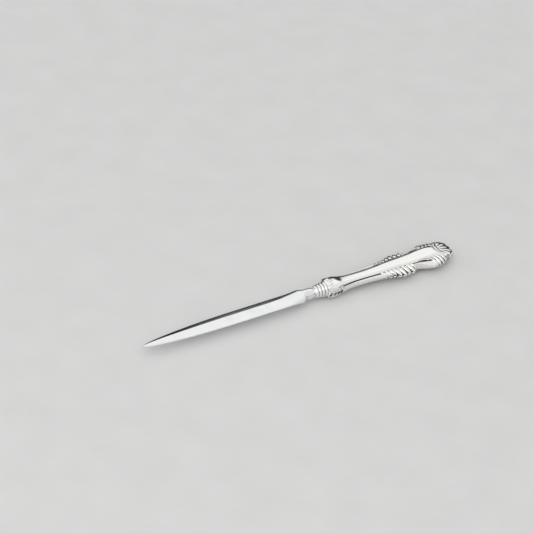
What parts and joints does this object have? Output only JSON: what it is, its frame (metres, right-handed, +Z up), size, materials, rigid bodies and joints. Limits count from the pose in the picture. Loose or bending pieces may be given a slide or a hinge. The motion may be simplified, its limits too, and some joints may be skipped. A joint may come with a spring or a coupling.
{
  "type": "letter opener",
  "caption": "Letter opener with a slim double-edged steel blade, ringed ferrule and hollow die-struck handle with acanthus leaves and a shell end.",
  "frame": {"origin": "under the middle of the part, on the surface that it lies on", "axes": "+X from the tip of the blade to the end of the handle, +Y across the broad face, +Z up out of the broad face"},
  "size_m": [0.229, 0.024, 0.0115],
  "materials": {
    "blade_steel": "polished stainless steel",
    "silver_plate": "polished silver plate, darker in the struck creases",
    "cement": "matte pitch and resin filling"
  },
  "bodies": {
    "root": {"blade": "blade_steel", "ferrule": "silver_plate", "handle_front_shell": "silver_plate", "handle_back_shell": "silver_plate", "resin_core": "cement"}
  },
  "joints": []
}
